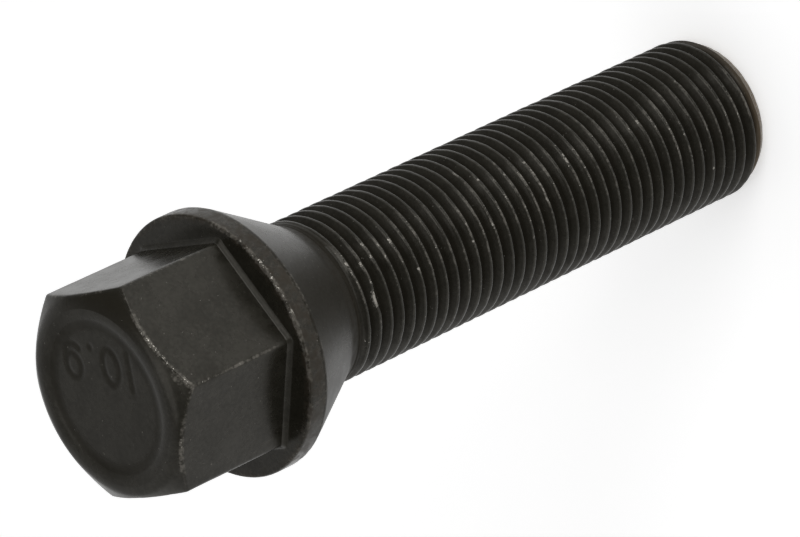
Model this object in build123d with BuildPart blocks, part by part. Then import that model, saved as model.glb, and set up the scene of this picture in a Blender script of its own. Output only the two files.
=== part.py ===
"""Wheel bolt: a hexagon head in one piece with a collar, a conical seat and a round shank.

Sizes are in millimetres. The bolt stands on the end of its shank with the head up: the origin is the centre
of the shank's end face, and +Z runs along the axis to the head. Two corners of the hexagon lie on the Y axis.
The shank has the thread's outside diameter.
"""

import os
from math import cos, radians, tan

from build123d import *

# Shank
thread_diameter = 14.0
shank_length = 48.2
end_chamfer_width = 0.8
end_chamfer_length = 1.4
neck_undercut = 0.1
neck_length = 0.9
runout_length = 0.3
neck_fillet = 2.0

# Hexagon head
across_flats = 17.0
head_height = 11.6
corner_round = 0.3
foot_fillet = 0.4
flat_margin = 0.5
head_chamfer_angle = 35.0

# Round recess in the head's face
recess_border = 1.4
recess_depth = 0.3
recess_wall_angle = 40.0

# Collar, which stands out past the hexagon's corners, and conical seat
collar_overhang = 1.3
rim_width = 1.75
rim_top_round = 0.25
rim_seat_round = 0.4
seat_angle = 60.0

# Radii
thread_radius = thread_diameter / 2
end_face_radius = thread_radius - end_chamfer_width
neck_radius = thread_radius - neck_undercut
flats_radius = across_flats / 2
corner_radius = flats_radius / cos(radians(30))
head_flat_radius = flats_radius - flat_margin
recess_radius = head_flat_radius - recess_border
collar_radius = corner_radius + collar_overhang

# Heights on the axis, from the end face up
neck_bottom = shank_length - neck_length
thread_top = neck_bottom - runout_length
rim_bottom = shank_length + (collar_radius - neck_radius) / tan(radians(seat_angle / 2))
collar_top = rim_bottom + rim_width
head_top = collar_top + head_height
corner_top = head_top - (corner_radius - head_flat_radius) * tan(radians(head_chamfer_angle))

height_tolerance = 0.01


def outermost_corner(profile, height):
    """The corner of a turned profile that lies farthest from the axis at one height."""
    at_height = profile.vertices().filter_by_position(
        Axis.Y, height - height_tolerance, height + height_tolerance
    )
    return at_height.sort_by(Axis.X)[-1]


# Shank, neck, seat and collar, turned from one profile
with BuildPart() as turned:
    with BuildSketch(Plane.XZ) as turned_profile:
        with BuildLine():
            Polyline(
                (0, 0),
                (end_face_radius, 0),
                (thread_radius, end_chamfer_length),
                (thread_radius, thread_top),
                (neck_radius, neck_bottom),
                (neck_radius, shank_length),
                (collar_radius, rim_bottom),
                (collar_radius, collar_top),
                (0, collar_top),
                close=True,
            )
        make_face()
        fillet(outermost_corner(turned_profile, shank_length), neck_fillet)
        fillet(outermost_corner(turned_profile, rim_bottom), rim_seat_round)
        fillet(outermost_corner(turned_profile, collar_top), rim_top_round)
    revolve(axis=Axis.Z)

# Hexagon with its top turned to a cone, which leaves the curved edges on the six flats
with BuildPart() as hexagon:
    with BuildSketch(Plane.XY.offset(collar_top)) as hexagon_outline:
        RegularPolygon(radius=flats_radius, side_count=6, major_radius=False, rotation=30)
        fillet(hexagon_outline.vertices(), corner_round)
    extrude(amount=head_height)
    with BuildSketch(Plane.XZ):
        with BuildLine():
            Polyline(
                (0, collar_top),
                (corner_radius, collar_top),
                (corner_radius, corner_top),
                (head_flat_radius, head_top),
                (0, head_top),
                close=True,
            )
        make_face()
    revolve(axis=Axis.Z, mode=Mode.INTERSECT)

# The whole bolt, with the foot of the hexagon blended into the collar and the recess sunk in the head
with BuildPart() as wheel_bolt:
    add(turned.part)
    add(hexagon.part)
    collar_face = wheel_bolt.faces().filter_by(Plane.XY).filter_by_position(
        Axis.Z, collar_top - height_tolerance, collar_top + height_tolerance
    )[0]
    fillet(collar_face.inner_wires()[0].edges(), foot_fillet)
    with BuildSketch(Plane.XY.offset(head_top)):
        Circle(recess_radius)
    extrude(amount=-recess_depth, taper=recess_wall_angle, mode=Mode.SUBTRACT)

wheel_bolt.part.label = "wheel_bolt"
os.makedirs("parts", exist_ok=True)
export_step(wheel_bolt.part, "parts/wheel_bolt.step")
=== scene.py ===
"""Looks of the wheel bolt: rolled thread, stamped head, worn edges and blackened finish, with painted shade,
highlights and light in it.
"""

import math
from collections import namedtuple

import bpy
import numpy as np
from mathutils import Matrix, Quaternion, Vector, noise
from mathutils.geometry import delaunay_2d_cdt


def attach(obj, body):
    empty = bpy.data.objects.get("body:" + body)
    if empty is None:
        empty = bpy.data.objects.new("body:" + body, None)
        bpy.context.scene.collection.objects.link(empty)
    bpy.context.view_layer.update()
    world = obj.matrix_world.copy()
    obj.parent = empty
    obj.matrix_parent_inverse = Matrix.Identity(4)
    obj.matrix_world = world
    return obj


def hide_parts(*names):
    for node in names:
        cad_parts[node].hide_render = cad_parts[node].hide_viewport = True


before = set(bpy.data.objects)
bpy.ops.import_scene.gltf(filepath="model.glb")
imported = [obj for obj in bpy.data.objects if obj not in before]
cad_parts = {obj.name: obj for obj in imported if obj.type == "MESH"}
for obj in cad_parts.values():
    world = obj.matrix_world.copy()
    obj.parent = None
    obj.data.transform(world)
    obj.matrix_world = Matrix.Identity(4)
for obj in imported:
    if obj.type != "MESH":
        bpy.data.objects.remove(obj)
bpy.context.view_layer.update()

# Sizes in millimetres and degrees, those of the solid
MM = 0.001
THREAD_RADIUS = 7.0
SHANK_LENGTH = 48.2
END_CHAMFER_WIDTH = 0.8
END_CHAMFER_LENGTH = 1.4
NECK_UNDERCUT = 0.1
FLATS_RADIUS = 8.5
HEAD_HEIGHT = 11.6
FLAT_MARGIN = 0.5
HEAD_CHAMFER_ANGLE = 35.0
COLLAR_OVERHANG = 1.3
RIM_WIDTH = 1.75
SEAT_ANGLE = 60.0

# Sizes unlike the solid's: the blend at the hexagon's foot, and what wear has softened
FOOT_STRIP = 0.33
CORNER_ROUND = 0.45
RECESS_BORDER = 1.06
RECESS_DEPTH = 0.22
RECESS_WALL_ANGLE = 14.5

# The neck: a fine turned groove, and the narrow band that leads to the seat
GROOVE_HEIGHT = 47.95
GROOVE_HALF = 0.1
GROOVE_DEPTH = 0.04
BAND_TOP = 48.81

# Places that follow from those sizes
END_RADIUS = THREAD_RADIUS - END_CHAMFER_WIDTH
END_SLOPE = END_CHAMFER_WIDTH / END_CHAMFER_LENGTH
NECK_RADIUS = THREAD_RADIUS - NECK_UNDERCUT
SEAT_SLOPE = math.tan(math.radians(SEAT_ANGLE / 2))
BAND_RADIUS = NECK_RADIUS + (BAND_TOP - SHANK_LENGTH) * SEAT_SLOPE
COLLAR_RADIUS = FLATS_RADIUS / math.cos(math.radians(30)) + COLLAR_OVERHANG
RIM_BOTTOM = SHANK_LENGTH + (COLLAR_RADIUS - NECK_RADIUS) / SEAT_SLOPE
COLLAR_TOP = RIM_BOTTOM + RIM_WIDTH
HEAD_TOP = COLLAR_TOP + HEAD_HEIGHT
HEAD_FLAT_RADIUS = FLATS_RADIUS - FLAT_MARGIN
RECESS_RADIUS = HEAD_FLAT_RADIUS - RECESS_BORDER
RECESS_FLOOR = HEAD_TOP - RECESS_DEPTH
FLOOR_RADIUS = RECESS_RADIUS - RECESS_DEPTH / math.tan(math.radians(RECESS_WALL_ANGLE))

# The thread's section: a crest passes CREST_HEIGHT at CREST_ANGLE
PITCH = 1.25
ROOT_RADIUS = THREAD_RADIUS - 0.6134 * PITCH
FLANK_SLOPE = math.sqrt(3)
CREST_FLAT = 0.22 * PITCH
CREST_ROUND = 0.035
CREST_ROUND_WIDTH = 0.05 * PITCH
CREST_ANGLE = -100.1
CREST_HEIGHT = 46.86

# The thread's length: heights of its ends, those between which its grooves start, and its run-out
THREAD_BOTTOM = 0.12
THREAD_TOP = 47.6
GROOVE_START = (0.5, 1.3)
RUN_OUT = 0.3

# The thread's rows, each a share of the pitch above a crest, the turns of them below the end, and how near
# to an end a row runs into it
THREAD_ROWS = (0.05, 0.11, 0.16, 0.42, 0.50, 0.58, 0.84, 0.89, 0.95)
SPARE_TURNS = 3
ROW_GAP = 0.03

# How uneven the crests are, the sizes of their dents and waves, and how their rubbing varies
CREST_UNEVEN = 0.045
DENT_SIZE = 0.8
WAVE_SIZE = 1.3
WAVE_SHIFT = 60
RUB_UNEVEN = 0.16
RUB_SIZE = 2.4

# Nicks in the crests: number of the crest from the head, angle, half length in degrees, depth
NICKS = (
    (0, -66, 3.6, 0.06),
    (1, -70, 3.8, 0.12),
    (1, -83, 3.0, 0.06),
    (1, -95, 11.0, 0.26),
    (2, -58, 4.2, 0.06),
    (2, -68, 2.8, 0.09),
    (3, -63, 2.8, 0.05),
    (4, -64, 4.6, 0.08),
    (5, -89, 2.6, 0.05),
    (7, -80, 2.6, 0.05),
    (10, -88, 2.4, 0.07),
    (12, -39, 3.4, 0.05),
    (12, -83, 3.0, 0.06),
    (13, -51, 3.2, 0.05),
    (15, -103, 2.6, 0.05),
    (17, -54, 2.8, 0.06),
    (17, -83, 3.0, 0.09),
    (20, -65, 4.4, 0.05),
    (26, -64, 2.8, 0.07),
    (27, -62, 3.2, 0.08),
    (30, -83, 2.6, 0.05),
    (32, -47, 2.6, 0.07),
    (32, -116, 2.8, 0.06),
)

# Half width of a nick in pitches: that of the shallowest, and what a millimetre of depth would add
NICK_WIDTH = 0.14
NICK_SPREAD = 0.8

# The end face: radii of its rows, how far from its edge it starts to round, and the row on that rounding
END_ROWS = (2.0, 4.0, 5.4)
END_ROUND = 0.08
LIP_INSET = 0.01
LIP_HEIGHT = 0.025

# How far the rounding of each corner of the outline reaches, and the most of a stretch that it takes
GROOVE_EDGE_ROUND = 0.04
GROOVE_ROUND = 0.03
BAND_ROUND = 0.12
SEAT_ROUND = 0.15
RIM_ROUND = 0.24
FOOT_ROUND = 0.12
FOOT_TOP_ROUND = 0.05
EDGE_ROUND = 0.17
FACE_ROUND = 0.6
RECESS_ROUND = 0.4
FLOOR_ROUND = 0.3
ROUND_SHARE = 0.55

# Chips along edges that are rubbed
CHIP_DEPTH = 0.06
CHIP_LENGTH = 0.7

# How far edges are rubbed: a share all round, and places with more or less, as angle, half width, share;
# some places are painted highlight and painted shade, as said above them
# Crests: lighter towards the view at -73, a painted highlight, and darker at -5, painted shade
CREST_WEAR_AND_HIGHLIGHT = (0.62, ((-73, 34, 0.21), (-5, 45, -0.25)))
CORNER_WEAR = (0.74, ((-90, 8, 0.08),))
# Flats' edges: wear at -66, the corner's painted highlight at -88, wear with a painted highlight line at -122
EDGE_WEAR_AND_HIGHLIGHT = (0.65, ((-88, 6, 0.16), (-66, 26, 0.27), (-122, 24, 0.18)))
CHAMFER_WEAR = (0.0, ((-84, 8, 0.8),))
# The rim: more rubbed towards the view at -66, partly wear and partly painted highlight
RIM_WEAR_AND_HIGHLIGHT = (0.72, ((-66, 42, 0.17),))
SEAT_EDGE_WEAR = 0.72
# The lip: rubbed to stand in for light falling on it, a painted light
LIP_PAINTED_POLISH = 0.93

# How far rubbing reaches: on a crest in pitches, beside a hexagon's corner in degrees, from other edges in
# millimetres, with rows at shares of that on stretches with room for it
CREST_BAND = (0.19, 0.06)
CORNER_BAND = (1.6, 0.3)
WEAR_WIDTH = 0.4
WEAR_ROWS = (0.25, 0.6, 1.0)
WEAR_ROOM = 3 * WEAR_WIDTH

# How dull faces are, in the same way or all over, how far the wall's dullness reaches over the floor, and
# the share of their depth from which grooves are dull; most of this dullness is painted shade
# Painted shade: the chamfer's side at -25 is dull, so that it reflects less and looks darker
CHAMFER_PAINTED_SHADE = (0.0, ((-25, 55, 0.85),))
# Painted shade: the facets at -120 and at 0 are dull, so that they reflect less and look darker
FLAT_PAINTED_SHADE = (0.0, ((-120, 34, 0.25), (0, 34, 0.2)))
# The seat: dull all round; painted shade towards the view at -78 and at -138, painted sheen at -18
SEAT_DULL_AND_PAINTED_SHADE = (0.45, ((-78, 30, 0.3), (-18, 35, -0.25), (-138, 30, 0.2)))
# Painted shade: the neck between seat and thread is dull and darker
NECK_PAINTED_SHADE = 0.75
# Painted shade in the recess: its border, wall, floor and stamped strokes are dull and look darker
BORDER_PAINTED_SHADE = 0.35
WALL_PAINTED_SHADE = 0.6
WALL_FADE = 0.5
FACE_PAINTED_SHADE = 0.3
STAMP_PAINTED_SHADE = 0.4
# The grooves: duller towards their roots, as oil and as painted shade
DULL_AND_SHADE_DEPTH = 0.4

# How scuffed the neck and the collar's rim are
NECK_SCUFFED = 0.6
RIM_SCUFFED = 1.0

# The lip of the end: the bare shine painted on it as light, and the heights over which it fades
LIP_PAINTED_SHINE = 0.65
LIP_FADE = (1.3, 0.4)

# Columns of vertices round the axis: degrees from a corner of the hexagon, the first behind the photo's view
SEAM = 90.0
NEAR_CORNER = (0.0, 0.3, 0.6, 0.9, 1.4, 2.4)
FLAT_START = 4.0
FLAT_COLUMNS = 22

# The strength class stamped in the head: how it is turned, its box along and up the text, and its strokes
TEXT_TURN = 78.5
TEXT_ALONG = (-3.9, 4.8)
TEXT_UP = (-5.0, -0.7)
STROKE_HALF = 0.28
STROKE_SLOPE = 0.5
STROKE_DEPTH = 0.055

# The net of the recess's floor: rings outside the text's box with a margin round it, and a fine net inside it
RING_MARGIN = 0.35
RING_STEP = 0.5
RING_SPACING = 0.6
RING_FEWEST = 6
BOX_MARGIN = 0.2
FINE_STEP = 0.085
FINE_MARGIN = 0.1
NET_INSIDE = 1
NET_TOLERANCE = 1e-6

# Finish, as linear colours
FILM_DARK = (0.0105, 0.0095, 0.0065, 1)
FILM_LIGHT = (0.0165, 0.0150, 0.0105, 1)
FILM_BROWN = (0.0205, 0.0158, 0.0102, 1)
FILM_SCUFFED = (0.0380, 0.0330, 0.0270, 1)
# Polish of rubbed edges, in places a painted highlight
POLISH_AND_HIGHLIGHT = (0.1050, 0.0970, 0.0830, 1)
# Painted light on the end's lip, brown in tint
LIP_PAINTED_LIGHT_COLOUR = (0.1300, 0.0900, 0.0500, 1)
FILM_GLOSS = (1.0, 0.96, 0.87, 1)
# The matt colour where the film is dull: oil in the grooves, painted shade elsewhere
DULL_AND_SHADED_FILM = (0.0175, 0.0155, 0.0113, 1)
# Bare steel in nicks and specks, and painted shine on the end's lip
BARE_STEEL_AND_PAINTED_LIP_SHINE = (0.29, 0.275, 0.245, 1)

# Noise of the finish: sizes of its features in millimetres, and how fine it is
CLOUD_SIZE = 2.2
BROWN_SIZE = 1.1
PALE_SIZE = 0.45
FINE_SIZE = 0.32
TINY_SIZE = 0.13
SPECK_SIZES = (0.12, 0.4)
SPECK_DETAIL = 1.0
NOISE_DETAIL = 4.0
NOISE_ROUGHNESS = 0.6

# Where the film is broken: weights of the noise, the least rubbing that counts, and the steps to bare steel
SPECK_WEIGHT = 0.6
NICK_WEIGHT = 1.5
STRAY_SPECKS = 0.73
BREAK_STEP = (1.56, 1.62)
NICK_STEP = (1.4, 1.65)
# How metallic bare steel is, on the lip a painted shine
BARE_AND_PAINTED_LIP_METALLIC = 0.9

# Where the film changes colour: weights of the noise, and the steps from one colour to the next
CLOUD_WEIGHT = 0.8
POLISH_WEIGHT = 1.2
PATCH_STEP = (0.6, 1.2)
BROWN_STEP = (0.4, 0.6)
PALE_STEP = (0.5, 0.72)
POLISH_STEP = (1.74, 2.2)

# How the film shines: its reflection where clean and where dull, which is mostly painted shade, in its
# patches, and how rough it is
FILM_IOR = 1.42
CLEAN_TO_DULL = (0.43, 0.06)
PATCH_SHEEN = (0.81, 1.19)
BROWN_MATT = 0.35
CLOUD_STEP = (0.3, 0.7)
SATIN = (0.22, 0.3)
BROWN_ROUGH = 0.15
DULL_STEP = (0.45, 1.0)
DULL_ROUGH = 0.3

# Grain of the film: the weight of its fine noise, and its strength and height in millimetres
GRAIN_WEIGHT = 2.0
GRAIN_STRENGTH = 0.08
GRAIN_HEIGHT = 0.01

# The floor: its width in metres, its paint, its light for the eye and reflections, and more for the eye
FLOOR_SIZE = 6.0
FLOOR_PAINT = (0.9, 0.9, 0.9, 1)
FLOOR_GLOW = 0.3
FLOOR_WHITE = 0.18

# The room: its light, that of its back and of its side walls, and where back and walls are
WHITE = (1, 1, 1, 1)
ROOM_LIGHT = 0.28
BACK_LIGHT = 0.5
BACK_WAY = (-0.6, 0.55, 0.0)
BACK_STEP = (0.2, 0.5)
WALL_LIGHT = 1.05
WALL_SHIFT = 0.15
WALL_SLOPE = 0.8
WALL_STEP = (0.38, 0.75)

# The soft boxes: name, azimuth, elevation, distance and size in metres, watts; and the height that they face
LAMPS = (
    ("top", 60, 84, 1.2, 0.9, 2.8),
    ("front", -50, 18, 0.2, 0.12, 0.126),
    ("side", -38, 49, 0.6, 0.2, 0.19),
)
LAMP_AIM = 0.035

# The photo's view: where the camera stands round the bolt, how it is rolled, its lens and its sensor
VIEW_AZIMUTH = -77.665
VIEW_ELEVATION = 37.88
VIEW_ROLL = -115.320
VIEW_AIM = (-0.686, -0.139, 37.028)
VIEW_DISTANCE = 508.4
VIEW_LENS = 282.6
SENSOR_WIDTH = 36.0
CLIP_START = 0.01

# A corner of the outline: where it is, reach and steps of its rounding, rows on the stretch before it, how
# far it is rubbed, with painted highlight in places, and masks of that stretch
Corner = namedtuple("Corner", "radius height reach steps rows rub masks", defaults=(0.0, 1, 1, 0.0, {}))


def smooth(low, high, value):
    """0 at low, 1 at high, an S curve between, and level beyond."""
    t = np.clip((value - low) / (high - low), 0, 1)
    return t * t * (3 - 2 * t)


def column_angles():
    """Angles of the columns over one turn, in radians, close together at the hexagon's corners."""
    near = np.array(NEAR_CORNER)
    flat = np.linspace(FLAT_START, 60 - FLAT_START, FLAT_COLUMNS)
    sextant = np.concatenate([near, flat, 60 - near[:0:-1]])
    return np.radians(np.concatenate([SEAM + 60 * i + sextant for i in range(6)]))


ANGLES = column_angles()
COLUMNS = len(ANGLES)


def corner_distance():
    """Degrees from each column to the nearest corner of the hexagon."""
    return np.abs((np.degrees(ANGLES) - SEAM + 30) % 60 - 30)


def hexagon_radius():
    """Distance from the axis to the hexagon with rounded corners, along each column."""
    sixth = math.pi / 6
    turn = np.abs((ANGLES + sixth) % (2 * sixth) - sixth)
    core = FLATS_RADIUS - CORNER_ROUND
    centre = core / math.cos(sixth)
    away = sixth - turn
    bulge = np.sqrt(np.maximum(CORNER_ROUND**2 - (centre * np.sin(away)) ** 2, 0))
    on_corner = centre * np.cos(away) + bulge
    on_flat = FLATS_RADIUS / np.cos(turn)
    return np.where(np.tan(turn) * FLATS_RADIUS < core * math.tan(sixth), on_flat, on_corner)


def uneven(x, y, z, size):
    """Noise from -1 to 1 at a point, with features of a size."""
    return noise.noise(Vector((x, y, z)) / size)


def spread(shares):
    """How rubbed or dull each column is, from a share all round and places with more or less; some places are
    painted highlight and painted shade.
    """
    share, places = shares
    total = np.full(COLUMNS, share)
    for angle, half, more in places:
        away = (np.degrees(ANGLES) - angle + 180) % 360 - 180
        total += more * np.maximum(1 - (away / half) ** 2, 0)
    return total


class Skin:
    """The vertices of the bolt's one closed mesh, the masks that its finish and its painted light and shade
    follow, and its faces.
    """

    def __init__(self):
        self.points = []
        self.masks = {"rubbed": [], "dull": [], "scuffed": [], "bare": [], "tanned": []}
        self.faces = []

    def add(self, x, y, z, **masks):
        """A vertex, by its number."""
        self.points.append((x, y, z))
        for name, values in self.masks.items():
            values.append(masks.get(name, 0.0))
        return len(self.points) - 1

    def ring(self, radius, height, rubbed=0.0, **masks):
        """A row of vertices round the axis, by their numbers, chipped where it is rubbed."""
        masks = {name: np.broadcast_to(shares, COLUMNS) for name, shares in masks.items()}
        numbers = []
        for k, (r, z, rub, angle) in enumerate(np.broadcast(radius, height, rubbed, ANGLES)):
            x = math.cos(angle)
            y = math.sin(angle)
            r -= CHIP_DEPTH * rub * max(uneven(r * x, r * y, z, CHIP_LENGTH), 0)
            here = {name: shares[k] for name, shares in masks.items()}
            numbers.append(self.add(r * x, r * y, z, rubbed=rub, **here))
        return numbers

    def face(self, *corners):
        """A face, with corners that fell together counted once, and none if too few are left."""
        kept = [c for i, c in enumerate(corners) if c != corners[i - 1]]
        if len(kept) > 2 and len(set(kept)) == len(kept):
            self.faces.append(kept)

    def bridge(self, lower, upper):
        """Faces between two rows."""
        for k in range(COLUMNS):
            n = (k + 1) % COLUMNS
            self.face(lower[k], lower[n], upper[n], upper[k])


def towards(corner, other, reach):
    """Points at a reach from a corner of the outline on the way to another, if there is room."""
    way = other - corner
    return corner + way * np.minimum(reach / np.linalg.norm(way, axis=0), ROUND_SHARE)


def rounded(before, corner, after, reach, steps):
    """Points that round a corner of the outline, from reach before it to reach after it."""
    start = towards(corner, before, reach)
    end = towards(corner, after, reach)
    shares = np.linspace(0, 1, steps + 1)
    return [(1 - s) ** 2 * start + 2 * s * (1 - s) * corner + s**2 * end for s in shares]


def row_shares(length, rows, worn_start, worn_end):
    """Shares of a stretch at which it has rows: even ones, and more beside an end that is worn."""
    shares = [np.full(COLUMNS, s) for s in np.linspace(0, 1, rows + 1)[1:-1]]
    near = [WEAR_WIDTH * w / length for w in WEAR_ROWS if np.min(length) > WEAR_ROOM]
    shares += near if worn_start else []
    shares += [1 - s for s in near] if worn_end else []
    return sorted(shares, key=np.mean)


def fade(distance):
    """How far wear reaches from an edge."""
    return np.maximum(1 - distance / WEAR_WIDTH, 0)


def stretch(here, there, rub_and_highlight_here, corner):
    """Rows on the stretch that leads to a corner's rounding, as spots and how rubbed they are, painted
    highlight included.
    """
    length = np.linalg.norm(there - here, axis=0)
    rows = []
    for share in row_shares(length, corner.rows, np.any(rub_and_highlight_here), np.any(corner.rub)):
        edges = np.maximum(rub_and_highlight_here * fade(length * share), corner.rub * fade(length * (1 - share)))
        rubbed = np.maximum(edges, corner.masks.get("rubbed", 0.0))
        rows.append((here + (there - here) * share, rubbed))
    return rows


def outline(skin, row, corners):
    """Rows over an outline from its first row on, rounded at each corner, and the last one of them."""
    spots = [np.stack(np.broadcast_arrays(c.radius, c.height, ANGLES))[:2].astype(float) for c in corners]
    here = spots[0]
    rub_and_highlight_here = 0.0
    for i in range(1, len(corners) - 1):
        corner = corners[i]
        curve = rounded(spots[i - 1], spots[i], spots[i + 1], corner.reach, corner.steps)
        rows = stretch(here, curve[0], rub_and_highlight_here, corner)
        rows += [(spot, corner.rub) for spot in curve]
        for spot, rubbed in rows:
            new = skin.ring(*spot, **{**corner.masks, "rubbed": rubbed})
            skin.bridge(row, new)
            row = new
        here = curve[-1]
        rub_and_highlight_here = corner.rub
    return row


def thread_radius(share, height):
    """Radius of the thread's surface at a share of the pitch above a crest, with its faded ends."""
    off = np.abs(share - np.round(share)) * PITCH
    fall = np.maximum(off - CREST_FLAT / 2, 0) * FLANK_SLOPE
    fall += CREST_ROUND * np.maximum(1 - np.abs(off - CREST_FLAT / 2) / CREST_ROUND_WIDTH, 0)
    radius = np.maximum(THREAD_RADIUS - fall, ROOT_RADIUS)
    cone = END_RADIUS + height * END_SLOPE
    entry = ROOT_RADIUS + (cone - ROOT_RADIUS) * (1 - smooth(*GROOVE_START, height))
    leaving = smooth(THREAD_TOP - RUN_OUT, THREAD_TOP, height)
    exit_floor = ROOT_RADIUS + (NECK_RADIUS - ROOT_RADIUS) * leaving
    exit_crest = THREAD_RADIUS - NECK_UNDERCUT * leaving
    radius = np.maximum(radius, np.maximum(exit_floor, np.where(height < END_CHAMFER_LENGTH, entry, 0)))
    return np.minimum(radius, np.minimum(exit_crest, cone))


def nick(height, angle, off):
    """How far a place on the thread is nicked, 0 to 1, and how deep, with off in pitches from the crest."""
    # The columns run from 90 to 450 degrees, and the nicks' angles are a turn lower
    degrees = math.degrees(angle) - 360
    crest = round((CREST_HEIGHT - height) / PITCH + (degrees - CREST_ANGLE) / 360)
    share = 0.0
    depth = 0.0
    for number, middle, half, deep in NICKS:
        if number == crest and abs(degrees - middle) < half:
            across = max(1 - (off / (NICK_WIDTH + NICK_SPREAD * deep)) ** 2, 0)
            share = (1 - ((degrees - middle) / half) ** 2) * across
            depth = deep * share
    return share, depth


def add_thread_point(skin, angle, height, share, rubbed):
    """A vertex of the thread, by its number, at a share of the pitch above a crest."""
    x = math.cos(angle)
    y = math.sin(angle)
    place = (THREAD_RADIUS * x, THREAD_RADIUS * y)
    off = abs(share - round(share))
    radius = float(thread_radius(share, height))
    bare, depth = nick(height, angle, off)
    # Duller towards the roots of the grooves: oil and painted shade
    dull = float(smooth(DULL_AND_SHADE_DEPTH, 1.0, (THREAD_RADIUS - radius) / (THREAD_RADIUS - ROOT_RADIUS)))
    crest = float(smooth(*CREST_BAND, off))
    lip = float(smooth(*LIP_FADE, height))
    radius -= depth + CREST_UNEVEN * crest * max(uneven(*place, height, DENT_SIZE), 0)
    wave = CREST_UNEVEN * crest * uneven(*place, height + WAVE_SHIFT, WAVE_SIZE)
    rub = rubbed + RUB_UNEVEN * uneven(*place, height, RUB_SIZE)
    # The lip gets painted light: polish, a lighter brown and bare shine
    masks = {
        "rubbed": max(rub * crest, LIP_PAINTED_POLISH * lip),
        "dull": dull * (1 - lip),
        "bare": max(bare, LIP_PAINTED_SHINE * lip),
        "tanned": lip,
    }
    return skin.add(radius * x, radius * y, height + wave, **masks)


def add_thread(skin, bottom, top):
    """The helical rows between the end's ring and the neck's ring, which rows past either end run into."""
    rows = len(THREAD_ROWS)
    turns = round(THREAD_TOP / PITCH) + SPARE_TURNS
    above = (ANGLES - math.radians(CREST_ANGLE)) / (2 * math.pi)
    # Crests more rubbed towards the view: their polish there is painted highlight
    rubbed = spread(CREST_WEAR_AND_HIGHLIGHT)
    base = CREST_HEIGHT % PITCH - SPARE_TURNS * PITCH
    grid = np.zeros((COLUMNS, turns * rows), dtype=int)
    for k, angle in enumerate(ANGLES):
        for q in range(turns * rows):
            share = THREAD_ROWS[q % rows]
            height = base + PITCH * (q // rows + share + above[k])
            if height < THREAD_BOTTOM + ROW_GAP:
                grid[k, q] = bottom[k]
            elif height > THREAD_TOP - ROW_GAP:
                grid[k, q] = top[k]
            else:
                grid[k, q] = add_thread_point(skin, angle, height, share, rubbed[k])
    # A turn on, the first column meets the last one a pitch higher
    over = np.concatenate([grid[0, rows:], [top[0]] * rows])
    for k in range(COLUMNS):
        right = grid[k + 1] if k + 1 < COLUMNS else over
        for q in range(turns * rows - 1):
            skin.face(grid[k, q], right[q], right[q + 1], grid[k, q + 1])


def to_text(x, y):
    """Where a point of the head's face is along and up the text."""
    turn = math.radians(TEXT_TURN)
    return x * math.cos(turn) + y * math.sin(turn), -x * math.sin(turn) + y * math.cos(turn)


def from_text(along, up):
    """The point of the head's face at a place along and up the text."""
    turn = math.radians(TEXT_TURN)
    return along * math.cos(turn) - up * math.sin(turn), along * math.sin(turn) + up * math.cos(turn)


def arc(centre, radii, start, end, steps):
    """Points along an ellipse's arc, by angles in degrees."""
    turn = np.radians(np.linspace(start, end, steps))
    return np.stack([centre[0] + radii[0] * np.cos(turn), centre[1] + radii[1] * np.sin(turn)], -1)


def text_strokes():
    """The middle lines of 10.9, each a row of points along and up the text, from the bolt's axis."""
    one = np.array([(-3.5, -4.1), (-3.5, -1.1)])
    nought = arc((-1.28, -2.72), (0.9, 1.46), 0, 360, 41)
    dot = np.array([(0.9, -4.1), (0.9, -4.05)])
    bowl = arc((3.28, -2.26), (0.86, 1.0), 0, 360, 33)
    tail = arc((2.98, -2.4), (1.16, 1.7), 0, -125, 25)
    return [one, nought, dot, bowl, tail]


def stamped_depth(x, y):
    """How deep the stamp sinks the recess's floor at points of it."""
    point = np.stack(to_text(x, y), -1)
    nearest = np.full(len(point), np.inf)
    for stroke in text_strokes():
        for a, b in zip(stroke[:-1], stroke[1:]):
            run = b - a
            share = np.clip((point - a) @ run / (run @ run), 0, 1)
            nearest = np.minimum(nearest, np.linalg.norm(point - a - share[:, None] * run, axis=1))
    slope_start = STROKE_HALF - STROKE_SLOPE / 2
    slope_end = STROKE_HALF + STROKE_SLOPE / 2
    return STROKE_DEPTH * (1 - smooth(slope_start, slope_end, nearest))


def by_text(spot):
    """Whether a spot is in the text's box or in the margin round it."""
    along, up = to_text(spot.x, spot.y)
    inside = TEXT_ALONG[0] - BOX_MARGIN < along < TEXT_ALONG[1] + BOX_MARGIN
    return inside and TEXT_UP[0] - BOX_MARGIN < up < TEXT_UP[1] + BOX_MARGIN


def wide_spots(radius):
    """Spots in rings over the recess's floor, but for the text's box."""
    spots = []
    for r in np.arange(radius - RING_MARGIN, 0, -RING_STEP):
        count = max(RING_FEWEST, int(2 * math.pi * r / RING_SPACING))
        for i in range(count):
            a = 2 * math.pi * i / count
            spots.append(Vector((r * math.cos(a), r * math.sin(a))))
    return [spot for spot in spots if not by_text(spot)]


def fine_spots(radius):
    """Spots of the fine net in the text's box, as far as the recess's floor goes."""
    spots = []
    for along in np.arange(*TEXT_ALONG, FINE_STEP):
        for up in np.arange(*TEXT_UP, FINE_STEP):
            x, y = from_text(along, up)
            if math.hypot(x, y) < radius - FINE_MARGIN:
                spots.append(Vector((x, y)))
    return spots


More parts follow.
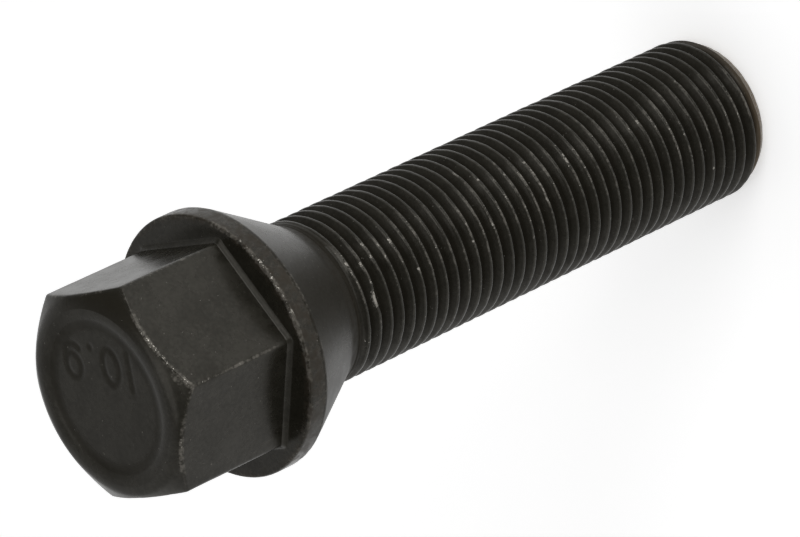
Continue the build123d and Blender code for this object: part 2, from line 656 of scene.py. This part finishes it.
def add_recess_floor(skin, edge):
    """The floor inside the recess's last ring: wide faces, and a fine net under the stamp."""
    ring = [Vector(skin.points[i][:2]) for i in edge]
    radius = ring[0].length
    spots = ring + wide_spots(radius) + fine_spots(radius)
    rim = list(range(len(ring)))
    net, _, triangles, sources, *_ = delaunay_2d_cdt(spots, [], [rim], NET_INSIDE, NET_TOLERANCE)
    x = np.array([v.x for v in net])
    y = np.array([v.y for v in net])
    depth = stamped_depth(x, y)
    # Painted shade: the floor is dull, more so towards the wall and in the stamped strokes
    dull = FACE_PAINTED_SHADE + (WALL_PAINTED_SHADE - FACE_PAINTED_SHADE) * smooth(radius - WALL_FADE, radius, np.hypot(x, y))
    dull += STAMP_PAINTED_SHADE * depth / STROKE_DEPTH
    height = skin.points[edge[0]][2] - depth
    number = []
    for i, source in enumerate(sources):
        on_rim = [s for s in source if s < len(ring)]
        number.append(edge[on_rim[0]] if on_rim else skin.add(x[i], y[i], height[i], dull=dull[i]))
    for corners in triangles:
        skin.face(*[number[c] for c in corners])


def add_end(skin):
    """The end face of the shank with its lip, and the ring at which the thread starts."""
    flat = [skin.ring(r, 0.0) for r in (*END_ROWS, END_RADIUS - END_ROUND)]
    middle = skin.add(0.0, 0.0, 0.0)
    for k in range(COLUMNS):
        skin.face(middle, flat[0][(k + 1) % COLUMNS], flat[0][k])
    # The lip's painted light: polish, a lighter brown and bare shine
    masks = {"rubbed": LIP_PAINTED_POLISH, "tanned": 1.0, "bare": LIP_PAINTED_SHINE}
    lip = skin.ring(END_RADIUS - LIP_INSET, LIP_HEIGHT, **masks)
    bottom = skin.ring(END_RADIUS + THREAD_BOTTOM * END_SLOPE, THREAD_BOTTOM, **masks)
    rows = [*flat, lip, bottom]
    for lower, upper in zip(rows[:-1], rows[1:]):
        skin.bridge(lower, upper)
    return bottom


def head_corners():
    """Corners of the outline from the thread's end over neck, seat, collar and hexagon into the recess."""
    hexagon = hexagon_radius()
    slope = math.tan(math.radians(HEAD_CHAMFER_ANGLE))
    edge_height = HEAD_TOP - (hexagon - HEAD_FLAT_RADIUS) * slope
    beside_corner = smooth(*CORNER_BAND, corner_distance())
    # The neck: painted shade between seat and thread, and scuffs
    neck = {"dull": NECK_PAINTED_SHADE, "scuffed": NECK_SCUFFED}
    # The seat: dull all round, with painted shade and painted sheen at places
    seat = {"dull": spread(SEAT_DULL_AND_PAINTED_SHADE)}
    rim = {"scuffed": RIM_SCUFFED}
    # The flats: rubbed beside the corners, and painted shade on the facets at -120 and 0
    flats = {"rubbed": spread(CORNER_WEAR) * beside_corner, "dull": spread(FLAT_PAINTED_SHADE)}
    # The head's chamfer: rubbed specks at -84, and painted shade at -25
    chamfer = {"rubbed": spread(CHAMFER_WEAR), "dull": spread(CHAMFER_PAINTED_SHADE)}
    # Painted shade on the recess's border and wall
    border = {"dull": BORDER_PAINTED_SHADE}
    wall = {"dull": WALL_PAINTED_SHADE}
    return [
        Corner(NECK_RADIUS, THREAD_TOP),
        Corner(NECK_RADIUS, GROOVE_HEIGHT - GROOVE_HALF, GROOVE_EDGE_ROUND, 2, 1, 0.0, neck),
        Corner(NECK_RADIUS - GROOVE_DEPTH, GROOVE_HEIGHT, GROOVE_ROUND, 2, 1, 0.0, neck),
        Corner(NECK_RADIUS, GROOVE_HEIGHT + GROOVE_HALF, GROOVE_EDGE_ROUND, 2, 1, 0.0, neck),
        Corner(BAND_RADIUS, BAND_TOP, BAND_ROUND, 3, 2, 0.0, neck),
        Corner(COLLAR_RADIUS, RIM_BOTTOM, SEAT_ROUND, 4, 10, SEAT_EDGE_WEAR, seat),
        Corner(COLLAR_RADIUS, COLLAR_TOP, RIM_ROUND, 5, 5, spread(RIM_WEAR_AND_HIGHLIGHT), rim),
        Corner(hexagon + FOOT_STRIP, COLLAR_TOP, FOOT_ROUND, 3, 3),
        Corner(hexagon, COLLAR_TOP + FOOT_STRIP, FOOT_TOP_ROUND, 2, 1),
        Corner(hexagon, edge_height, EDGE_ROUND, 4, 9, spread(EDGE_WEAR_AND_HIGHLIGHT), flats),
        Corner(HEAD_FLAT_RADIUS, HEAD_TOP, FACE_ROUND, 6, 3, 0.0, chamfer),
        Corner(RECESS_RADIUS, HEAD_TOP, RECESS_ROUND, 5, 4, 0.0, border),
        Corner(FLOOR_RADIUS, RECESS_FLOOR, FLOOR_ROUND, 5, 1, 0.0, wall),
        # The last one only shows which way the floor goes on
        Corner(FLOOR_RADIUS - 1.0, RECESS_FLOOR),
    ]


def build_skin():
    """The bolt's skin, rows from the end of the shank to the middle of the head."""
    skin = Skin()
    bottom = add_end(skin)
    # The neck's first ring is fully dull, as painted shade
    top = skin.ring(NECK_RADIUS, THREAD_TOP, dull=1.0)
    add_thread(skin, bottom, top)
    edge = outline(skin, top, head_corners())
    add_recess_floor(skin, edge)
    return skin


def build_bolt():
    """The bolt's mesh object, with the masks as attributes of its vertices."""
    skin = build_skin()
    mesh = bpy.data.meshes.new("wheel_bolt_visual")
    mesh.from_pydata([Vector(p) * MM for p in skin.points], [], skin.faces)
    mesh.validate()
    for name, values in skin.masks.items():
        mesh.attributes.new(name, "FLOAT", "POINT").data.foreach_set("value", values)
    mesh.shade_smooth()
    bolt = bpy.data.objects.new("wheel_bolt_visual", mesh)
    bpy.context.scene.collection.objects.link(bolt)
    even = bolt.modifiers.new("even_normals", "WEIGHTED_NORMAL")
    even.keep_sharp = True
    return bolt


def node(tree, kind, values=None, **settings):
    """A shader node with its settings and its inputs' values."""
    made = tree.nodes.new(kind)
    for name, value in settings.items():
        setattr(made, name, value)
    for name, value in (values or {}).items():
        made.inputs[name].default_value = value
    return made


def mask(tree, name):
    """A mask of the mesh."""
    return node(tree, "ShaderNodeAttribute", attribute_name=name).outputs["Fac"]


def speckle(tree, where, size, detail=NOISE_DETAIL):
    """Noise with features of a size in millimetres."""
    values = {"Scale": 1 / (size * MM), "Detail": detail, "Roughness": NOISE_ROUGHNESS}
    made = node(tree, "ShaderNodeTexNoise", values)
    tree.links.new(where, made.inputs["Vector"])
    return made.outputs["Fac"]


def step(tree, value, low, high, start=0.0, end=1.0):
    """A smooth step from start to end while a value goes from low to high."""
    span = {"From Min": low, "From Max": high, "To Min": start, "To Max": end}
    made = node(tree, "ShaderNodeMapRange", span, interpolation_type="SMOOTHSTEP")
    tree.links.new(value, made.inputs["Value"])
    return made.outputs["Result"]


def combine(tree, operation, first, second=None):
    """A value worked on alone, or together with a second one, which may be a number."""
    made = node(tree, "ShaderNodeMath", operation=operation)
    tree.links.new(first, made.inputs[0])
    if isinstance(second, float):
        made.inputs[1].default_value = second
    elif second is not None:
        tree.links.new(second, made.inputs[1])
    return made.outputs[0]


def plus(tree, first, second):
    """The sum of two values."""
    return combine(tree, "ADD", first, second)


def times(tree, first, second):
    """The product of two values."""
    return combine(tree, "MULTIPLY", first, second)


def larger(tree, first, second):
    """The larger of two values."""
    return combine(tree, "MAXIMUM", first, second)


def blend(tree, share, first, second):
    """A colour that goes from the first, which may be a colour or a socket, to the second by a share."""
    made = node(tree, "ShaderNodeMix", data_type="RGBA")
    colours = [socket for socket in made.inputs if socket.type == "RGBA"]
    tree.links.new(share, made.inputs["Factor"])
    if isinstance(first, tuple):
        colours[0].default_value = first
    else:
        tree.links.new(first, colours[0])
    colours[1].default_value = second
    return [socket for socket in made.outputs if socket.type == "RGBA"][0]


def film_breaks(tree, where, rubbed, tiny):
    """Where the film is broken to bare steel: in specks along rubbed edges, in the nicks, and on the lip as
    painted shine.
    """
    coarse = speckle(tree, where, SPECK_SIZES[1], SPECK_DETAIL)
    specks = plus(tree, speckle(tree, where, SPECK_SIZES[0], SPECK_DETAIL), coarse)
    loose = plus(tree, larger(tree, rubbed, STRAY_SPECKS), times(tree, specks, SPECK_WEIGHT))
    broken = step(tree, loose, *BREAK_STEP)
    nicks = plus(tree, mask(tree, "bare"), times(tree, tiny, NICK_WEIGHT))
    return larger(tree, broken, step(tree, nicks, *NICK_STEP))


def film_colour(tree, where, rubbed, dull, patchy, brown):
    """The film's colour: cloudy, brown or pale where scuffed, matt where dull and in painted shade, light
    where rubbed and in painted highlights, and painted light on the lip.
    """
    film = blend(tree, step(tree, patchy, *PATCH_STEP), FILM_DARK, FILM_LIGHT)
    film = blend(tree, brown, film, FILM_BROWN)
    pale = step(tree, speckle(tree, where, PALE_SIZE), *PALE_STEP)
    film = blend(tree, times(tree, mask(tree, "scuffed"), pale), film, FILM_SCUFFED)
    film = blend(tree, dull, film, DULL_AND_SHADED_FILM)
    polish = plus(tree, rubbed, times(tree, patchy, POLISH_WEIGHT))
    film = blend(tree, step(tree, polish, *POLISH_STEP), film, POLISH_AND_HIGHLIGHT)
    return blend(tree, mask(tree, "tanned"), film, LIP_PAINTED_LIGHT_COLOUR)


def film_sheen(tree, dull, patchy, brown):
    """How much the film reflects: less where brown, and where dull, much of it painted shade, and unevenly in
    its patches.
    """
    matt = larger(tree, dull, times(tree, brown, BROWN_MATT))
    patches = step(tree, patchy, *PATCH_STEP, *PATCH_SHEEN)
    return times(tree, step(tree, matt, 0.0, 1.0, *CLEAN_TO_DULL), patches)


def film_roughness(tree, dull, cloud, brown):
    """How rough the film is: satin, and more where brown or dull."""
    satin = step(tree, cloud, *CLOUD_STEP, *SATIN)
    satin = plus(tree, satin, times(tree, brown, BROWN_ROUGH))
    return plus(tree, satin, step(tree, dull, *DULL_STEP, 0.0, DULL_ROUGH))


def film_grain(tree, fine, tiny):
    """The film's fine grain, as a normal."""
    grain = plus(tree, tiny, times(tree, fine, GRAIN_WEIGHT))
    bump = node(tree, "ShaderNodeBump", {"Strength": GRAIN_STRENGTH, "Distance": GRAIN_HEIGHT * MM})
    tree.links.new(grain, bump.inputs["Height"])
    return bump.outputs["Normal"]


def black_steel():
    """Blackened steel: a warm, satin film, dull with oil and painted shade in the grooves and on some faces,
    rubbed through on edges with painted highlights in places, and painted light on the lip.
    """
    material = bpy.data.materials.new("black_steel")
    material.use_nodes = True
    tree = material.node_tree
    shader = tree.nodes["Principled BSDF"].inputs
    link = tree.links.new
    where = node(tree, "ShaderNodeTexCoord").outputs["Object"]
    rubbed = mask(tree, "rubbed")
    dull = mask(tree, "dull")
    cloud = speckle(tree, where, CLOUD_SIZE)
    fine = speckle(tree, where, FINE_SIZE)
    tiny = speckle(tree, where, TINY_SIZE)
    patchy = plus(tree, fine, times(tree, cloud, CLOUD_WEIGHT))
    brown = step(tree, speckle(tree, where, BROWN_SIZE), *BROWN_STEP)
    brown = times(tree, mask(tree, "scuffed"), brown)
    bare = film_breaks(tree, where, rubbed, tiny)
    film = film_colour(tree, where, rubbed, dull, patchy, brown)
    shader["IOR"].default_value = FILM_IOR
    shader["Specular Tint"].default_value = FILM_GLOSS
    link(blend(tree, bare, film, BARE_STEEL_AND_PAINTED_LIP_SHINE), shader["Base Color"])
    link(times(tree, bare, BARE_AND_PAINTED_LIP_METALLIC), shader["Metallic"])
    link(film_sheen(tree, dull, patchy, brown), shader["Specular IOR Level"])
    link(film_roughness(tree, dull, cloud, brown), shader["Roughness"])
    link(film_grain(tree, fine, tiny), shader["Normal"])
    return material


def floor_white():
    """White paint with a light of its own that only the eye and reflections see."""
    material = bpy.data.materials.new("floor_white")
    material.use_nodes = True
    tree = material.node_tree
    tree.nodes.clear()
    link = tree.links.new
    ray = node(tree, "ShaderNodeLightPath").outputs
    seen = larger(tree, ray["Is Camera Ray"], ray["Is Glossy Ray"])
    seen = times(tree, larger(tree, seen, ray["Is Transmission Ray"]), FLOOR_GLOW)
    glow = node(tree, "ShaderNodeEmission", {"Color": WHITE})
    link(plus(tree, seen, times(tree, ray["Is Camera Ray"], FLOOR_WHITE)), glow.inputs["Strength"])
    paint = node(tree, "ShaderNodeBsdfDiffuse", {"Color": FLOOR_PAINT})
    both = node(tree, "ShaderNodeAddShader")
    link(paint.outputs[0], both.inputs[0])
    link(glow.outputs[0], both.inputs[1])
    link(both.outputs[0], node(tree, "ShaderNodeOutputMaterial").inputs["Surface"])
    return material


def add_floor():
    """A plain white floor under the bolt, with the bolt's shadow on it."""
    bpy.ops.mesh.primitive_plane_add(size=FLOOR_SIZE, location=(0, 0, 0))
    floor = bpy.context.object
    floor.name = "floor"
    floor.data.materials.append(floor_white())


def direction(azimuth, elevation):
    """The way from the bolt to a place round it, by angles in degrees."""
    turn = math.radians(azimuth)
    rise = math.radians(elevation)
    return Vector((math.cos(rise) * math.cos(turn), math.cos(rise) * math.sin(turn), math.sin(rise)))


def add_lamp(name, azimuth, elevation, distance, size, power):
    """A square soft box that faces the bolt."""
    lamp = bpy.data.lights.new(name, "AREA")
    lamp.size = size
    lamp.energy = power
    thing = bpy.data.objects.new(name, lamp)
    away = direction(azimuth, elevation)
    thing.location = Vector((0, 0, LAMP_AIM)) + away * distance
    thing.rotation_euler = (-away).to_track_quat("-Z", "Y").to_euler()
    bpy.context.scene.collection.objects.link(thing)


def add_room():
    """A dim room with a lighter back and two pale side walls."""
    world = bpy.data.worlds.new("room")
    bpy.context.scene.world = world
    world.use_nodes = True
    tree = world.node_tree
    way = node(tree, "ShaderNodeTexCoord").outputs["Generated"]
    apart = node(tree, "ShaderNodeSeparateXYZ")
    tree.links.new(way, apart.inputs[0])
    sideways = combine(tree, "ABSOLUTE", combine(tree, "SUBTRACT", apart.outputs["X"], WALL_SHIFT))
    low = combine(tree, "SUBTRACT", sideways, times(tree, apart.outputs["Z"], WALL_SLOPE))
    behind = node(tree, "ShaderNodeVectorMath", {1: BACK_WAY}, operation="DOT_PRODUCT")
    tree.links.new(way, behind.inputs[0])
    room = step(tree, behind.outputs["Value"], *BACK_STEP, ROOM_LIGHT, BACK_LIGHT)
    walls = step(tree, low, *WALL_STEP, 0.0, WALL_LIGHT)
    background = tree.nodes["Background"].inputs
    background["Color"].default_value = WHITE
    tree.links.new(larger(tree, walls, room), background["Strength"])


def add_camera():
    """The camera of the photo."""
    back = direction(VIEW_AZIMUTH, VIEW_ELEVATION)
    camera = bpy.data.cameras.new("photo_view")
    camera.lens = VIEW_LENS
    camera.sensor_width = SENSOR_WIDTH
    camera.clip_start = CLIP_START
    thing = bpy.data.objects.new("photo_view", camera)
    thing.location = (Vector(VIEW_AIM) + back * VIEW_DISTANCE) * MM
    roll = Quaternion((0, 0, 1), math.radians(VIEW_ROLL))
    thing.rotation_mode = "QUATERNION"
    thing.rotation_quaternion = (-back).to_track_quat("-Z", "Y") @ roll
    bpy.context.scene.collection.objects.link(thing)
    bpy.context.scene.camera = thing


bpy.context.scene.view_settings.view_transform = "Standard"
add_camera()
add_room()
for lamp_values in LAMPS:
    add_lamp(*lamp_values)
add_floor()
bolt = build_bolt()
bolt.data.materials.append(black_steel())
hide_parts("wheel_bolt")
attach(bolt, "root")
